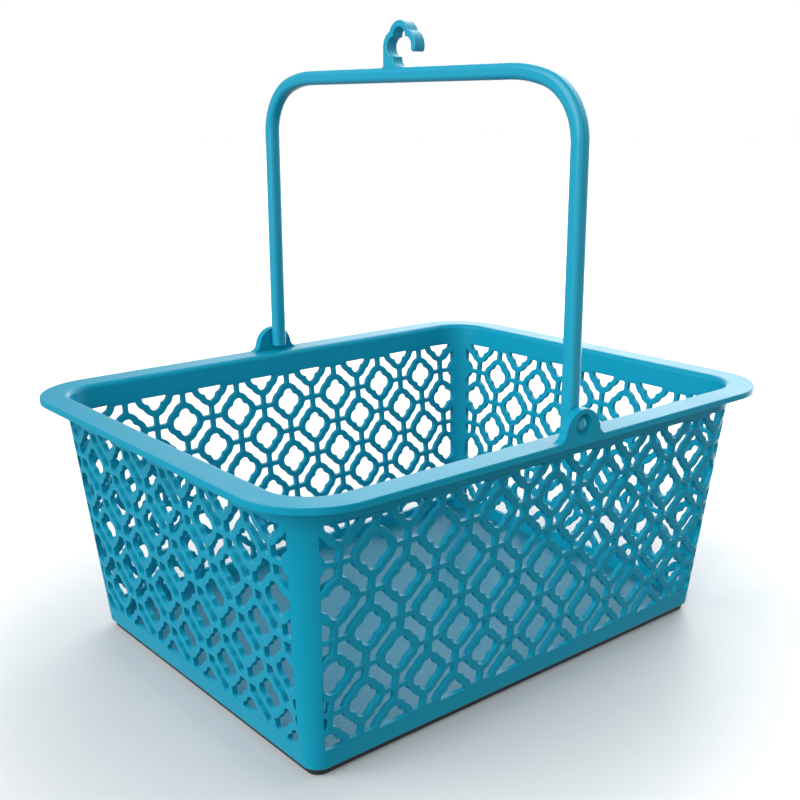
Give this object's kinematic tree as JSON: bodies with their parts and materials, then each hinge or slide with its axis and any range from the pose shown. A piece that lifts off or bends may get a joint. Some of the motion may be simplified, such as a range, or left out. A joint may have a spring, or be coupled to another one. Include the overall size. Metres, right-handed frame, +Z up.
{
  "type": "shower caddy",
  "caption": "Tapered rectangular lattice basket with a flat rim and a swinging carry handle that ends in a scalloped hanging hook.",
  "frame": {"origin": "centre of the basket's footprint, on the surface that it stands on", "axes": "+X along the basket's long walls, +Y across them, +Z up; the handle stands upright in the plane x = 0 and the hook opens towards -Y"},
  "size_m": [0.28, 0.2216, 0.2787],
  "materials": {
    "basket_plastic": "satin-gloss moulded polypropylene, teal blue",
    "foot_rubber": "dark grey moulded rubber",
    "pin_plastic": "satin-gloss moulded plastic, teal blue",
    "handle_plastic": "satin-gloss moulded polypropylene, teal blue"
  },
  "bodies": {
    "basket": {"rim_flange": "basket_plastic", "upper_band": "basket_plastic", "lower_band": "basket_plastic", "floor_panel": "basket_plastic", "foot_ring": "foot_rubber", "front_lattice": "basket_plastic", "back_lattice": "basket_plastic", "left_lattice": "basket_plastic", "right_lattice": "basket_plastic", "corner_post_1": "basket_plastic", "corner_post_2": "basket_plastic", "corner_post_3": "basket_plastic", "corner_post_4": "basket_plastic", "front_ear": "basket_plastic", "back_ear": "basket_plastic", "front_pivot_pin": "pin_plastic", "back_pivot_pin": "pin_plastic"},
    "handle": {"carry_handle": "handle_plastic", "hanging_hook": "handle_plastic"}
  },
  "joints": [
    {"name": "handle_swing", "type": "hinge", "parent": "basket", "child": "handle", "pos_m": [0, 0, 0.122], "axis": [0, 1, 0], "range_deg": [-90, 90]}
  ]
}
